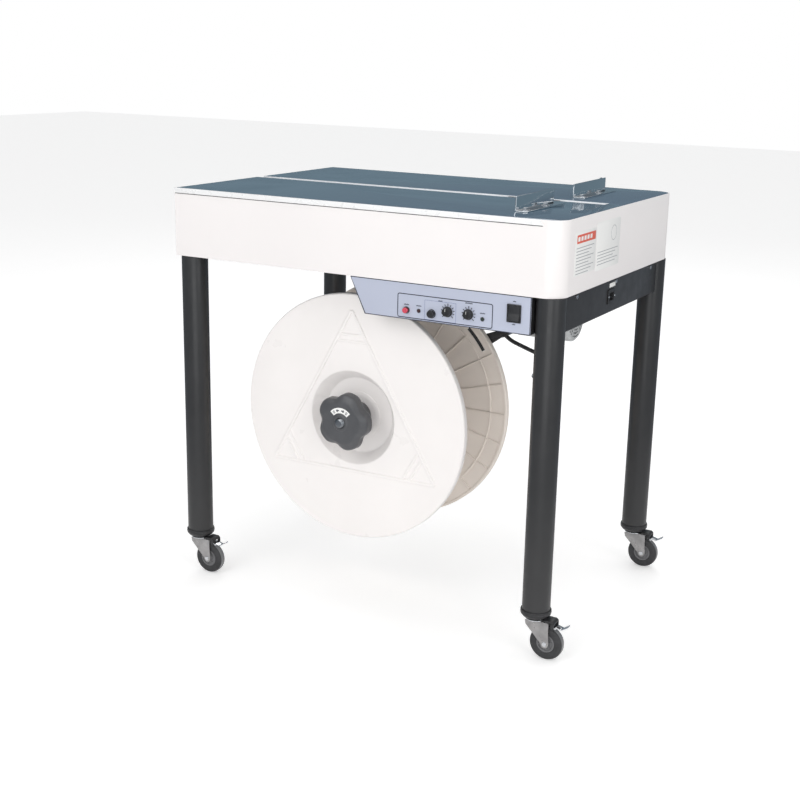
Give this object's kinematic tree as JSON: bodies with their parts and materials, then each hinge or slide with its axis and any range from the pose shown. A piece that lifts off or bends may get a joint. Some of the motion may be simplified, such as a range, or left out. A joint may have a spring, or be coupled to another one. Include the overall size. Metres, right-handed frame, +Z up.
{
  "type": "semi-automatic strapping machine",
  "caption": "Table-top strapping machine on casters: slotted two-part top with stoppers, sealing head inside, hanging strap reel with a lobed knob, and a front control panel.",
  "frame": {"origin": "on the floor, at the middle of the whole machine's footprint with the casters trailing to the right", "axes": "+Z up, +X to the right along the front edge, +Y from the operator's side to the back"},
  "size_m": [0.805, 0.5466, 0.775],
  "materials": {
    "white_paint": "satin powder coat",
    "blue_paint": "gloss",
    "black_paint": "semi-gloss powder coat",
    "black_plastic": "satin",
    "polished_steel": "polished",
    "panel_grey": "satin",
    "circuit_green": "satin",
    "red_plastic": "gloss",
    "green_lens": "gloss",
    "reel_grey": "satin",
    "reel_white": "satin",
    "machined_steel": "machined",
    "zinc_steel": "zinc plated",
    "motor_grey": "painted casting",
    "rubber": "matte"
  },
  "bodies": {
    "table": {"apron": "white_paint", "base_frame": "black_paint", "side_beam": "black_paint", "leg_front_left": "black_paint", "leg_front_right": "black_paint", "leg_rear_left": "black_paint", "leg_rear_right": "black_paint", "foot_cap_front_left": "black_plastic", "foot_cap_front_right": "black_plastic", "foot_cap_rear_left": "black_plastic", "foot_cap_rear_right": "black_plastic", "strap_channel": "polished_steel", "front_edge_trim": "polished_steel", "control_box": "black_paint", "control_panel": "panel_grey", "control_board": "circuit_green", "error_lamp": "red_plastic", "power_lamp": "green_lens", "power_inlet": "black_plastic", "reel_bracket": "black_paint", "reel_shaft": "machined_steel", "mechanism_frame": "zinc_steel", "main_motor": "motor_grey", "drive_belt": "rubber", "feed_motor": "motor_grey"},
    "front_cover": {"top_plate_front": "blue_paint", "stopper_front": "polished_steel"},
    "rear_cover": {"top_plate_rear": "blue_paint", "stopper_rear": "polished_steel"},
    "reset_button": {"reset_button": "red_plastic"},
    "feed_button": {"feed_button": "black_plastic"},
    "feed_knob": {"feed_knob": "black_plastic"},
    "tension_knob": {"tension_knob": "black_plastic"},
    "power_rocker": {"power_rocker": "black_plastic"},
    "reel": {"reel_drum": "reel_grey", "rear_flange": "reel_grey", "front_flange": "reel_white"},
    "reel_knob": {"reel_knob": "black_plastic"},
    "brake_lever": {"brake_lever": "black_paint"},
    "guide_roller": {"guide_roller": "black_plastic"},
    "anvil": {"anvil": "machined_steel"},
    "camshaft": {"camshaft": "machined_steel"},
    "motor_pulley": {"motor_pulley": "machined_steel"},
    "left_gripper": {"left_gripper": "machined_steel"},
    "press_head": {"press_head": "machined_steel"},
    "right_gripper": {"right_gripper": "machined_steel"},
    "feed_roller": {"feed_roller": "rubber"},
    "pinch_roller": {"pinch_roller": "machined_steel"},
    "caster_front_left": {"caster_fork_front_left": "zinc_steel"},
    "wheel_front_left": {"caster_wheel_front_left": "rubber"},
    "pedal_front_left": {"brake_pedal_front_left": "zinc_steel"},
    "caster_front_right": {"caster_fork_front_right": "zinc_steel"},
    "wheel_front_right": {"caster_wheel_front_right": "rubber"},
    "pedal_front_right": {"brake_pedal_front_right": "zinc_steel"},
    "caster_rear_left": {"caster_fork_rear_left": "zinc_steel"},
    "wheel_rear_left": {"caster_wheel_rear_left": "rubber"},
    "pedal_rear_left": {"brake_pedal_rear_left": "zinc_steel"},
    "caster_rear_right": {"caster_fork_rear_right": "zinc_steel"},
    "wheel_rear_right": {"caster_wheel_rear_right": "rubber"},
    "pedal_rear_right": {"brake_pedal_rear_right": "zinc_steel"}
  },
  "joints": [
    {"name": "front_cover_hinge", "type": "hinge", "parent": "table", "child": "front_cover", "pos_m": [-0.0175, -0.26225, 0.75], "axis": [1, 0, 0], "range_deg": [0, 80]},
    {"name": "rear_cover_hinge", "type": "hinge", "parent": "table", "child": "rear_cover", "pos_m": [-0.0175, 0.26875, 0.75], "axis": [-1, 0, 0], "range_deg": [0, 80]},
    {"name": "reset_button_press", "type": "slide", "parent": "table", "child": "reset_button", "axis": [0, 1, 0], "range_m": [0, 0.003]},
    {"name": "feed_button_press", "type": "slide", "parent": "table", "child": "feed_button", "axis": [0, 1, 0], "range_m": [0, 0.003]},
    {"name": "feed_knob_turn", "type": "hinge", "parent": "table", "child": "feed_knob", "pos_m": [0.1665, -0.26275, 0.585], "axis": [0, 1, 0], "range_deg": [-135, 135]},
    {"name": "tension_knob_turn", "type": "hinge", "parent": "table", "child": "tension_knob", "pos_m": [0.205, -0.26275, 0.585], "axis": [0, 1, 0], "range_deg": [-135, 135]},
    {"name": "power_rocker_tilt", "type": "hinge", "parent": "table", "child": "power_rocker", "pos_m": [0.2865, -0.26275, 0.596], "axis": [1, 0, 0], "range_deg": [0, 14]},
    {"name": "reel_spin", "type": "hinge", "parent": "table", "child": "reel", "pos_m": [-0.0475, -0.12175, 0.356], "axis": [0, 1, 0], "continuous": true},
    {"name": "reel_knob_unscrew", "type": "hinge", "parent": "reel", "child": "reel_knob", "pos_m": [-0.0475, -0.23675, 0.356], "axis": [0, -1, 0], "range_deg": [0, 720]},
    {"name": "brake_lever_swing", "type": "hinge", "parent": "table", "child": "brake_lever", "pos_m": [0.1615, -0.02475, 0.507], "axis": [0, -1, 0], "range_deg": [-1, 25]},
    {"name": "guide_roller_spin", "type": "hinge", "parent": "brake_lever", "child": "guide_roller", "pos_m": [0.2485, -0.04175, 0.47], "axis": [0, 1, 0], "continuous": true},
    {"name": "anvil_retract", "type": "slide", "parent": "table", "child": "anvil", "axis": [0, 1, 0], "range_m": [0, 0.018]},
    {"name": "camshaft_spin", "type": "hinge", "parent": "table", "child": "camshaft", "pos_m": [0.1825, 0.00325, 0.672], "axis": [1, 0, 0], "continuous": true},
    {"name": "motor_pulley_spin", "type": "hinge", "parent": "table", "child": "motor_pulley", "pos_m": [0.1285, 0.05325, 0.53], "axis": [1, 0, 0], "continuous": true},
    {"name": "left_gripper_lift", "type": "slide", "parent": "table", "child": "left_gripper", "axis": [0, 0, 1], "range_m": [0, 0.009]},
    {"name": "press_head_lift", "type": "slide", "parent": "table", "child": "press_head", "axis": [0, 0, 1], "range_m": [0, 0.009]},
    {"name": "right_gripper_lift", "type": "slide", "parent": "table", "child": "right_gripper", "axis": [0, 0, 1], "range_m": [0, 0.009]},
    {"name": "feed_roller_spin", "type": "hinge", "parent": "table", "child": "feed_roller", "pos_m": [0.2655, 0.00325, 0.69], "axis": [0, 1, 0], "continuous": true},
    {"name": "pinch_roller_spin", "type": "hinge", "parent": "table", "child": "pinch_roller", "pos_m": [0.2935, 0.00325, 0.69], "axis": [0, 1, 0], "continuous": true},
    {"name": "caster_front_left_swivel", "type": "hinge", "parent": "table", "child": "caster_front_left", "pos_m": [-0.376, -0.24025, 0.07], "axis": [0, 0, 1], "continuous": true},
    {"name": "wheel_front_left_spin", "type": "hinge", "parent": "caster_front_left", "child": "wheel_front_left", "pos_m": [-0.353, -0.24025, 0.03], "axis": [0, 1, 0], "continuous": true},
    {"name": "pedal_front_left_press", "type": "hinge", "parent": "caster_front_left", "child": "pedal_front_left", "pos_m": [-0.341, -0.24025, 0.06275], "axis": [0, 1, 0], "range_deg": [0, 12]},
    {"name": "caster_front_right_swivel", "type": "hinge", "parent": "table", "child": "caster_front_right", "pos_m": [0.341, -0.24025, 0.07], "axis": [0, 0, 1], "continuous": true},
    {"name": "wheel_front_right_spin", "type": "hinge", "parent": "caster_front_right", "child": "wheel_front_right", "pos_m": [0.364, -0.24025, 0.03], "axis": [0, 1, 0], "continuous": true},
    {"name": "pedal_front_right_press", "type": "hinge", "parent": "caster_front_right", "child": "pedal_front_right", "pos_m": [0.376, -0.24025, 0.06275], "axis": [0, 1, 0], "range_deg": [0, 12]},
    {"name": "caster_rear_left_swivel", "type": "hinge", "parent": "table", "child": "caster_rear_left", "pos_m": [-0.376, 0.24675, 0.07], "axis": [0, 0, 1], "continuous": true},
    {"name": "wheel_rear_left_spin", "type": "hinge", "parent": "caster_rear_left", "child": "wheel_rear_left", "pos_m": [-0.353, 0.24675, 0.03], "axis": [0, 1, 0], "continuous": true},
    {"name": "pedal_rear_left_press", "type": "hinge", "parent": "caster_rear_left", "child": "pedal_rear_left", "pos_m": [-0.341, 0.24675, 0.06275], "axis": [0, 1, 0], "range_deg": [0, 12]},
    {"name": "caster_rear_right_swivel", "type": "hinge", "parent": "table", "child": "caster_rear_right", "pos_m": [0.341, 0.24675, 0.07], "axis": [0, 0, 1], "continuous": true},
    {"name": "wheel_rear_right_spin", "type": "hinge", "parent": "caster_rear_right", "child": "wheel_rear_right", "pos_m": [0.364, 0.24675, 0.03], "axis": [0, 1, 0], "continuous": true},
    {"name": "pedal_rear_right_press", "type": "hinge", "parent": "caster_rear_right", "child": "pedal_rear_right", "pos_m": [0.376, 0.24675, 0.06275], "axis": [0, 1, 0], "range_deg": [0, 12]}
  ],
  "couplings": [
    {"joint": "motor_pulley_spin", "follows": "camshaft_spin", "ratio": 2.3077},
    {"joint": "feed_roller_spin", "follows": "pinch_roller_spin", "ratio": -0.71875}
  ]
}
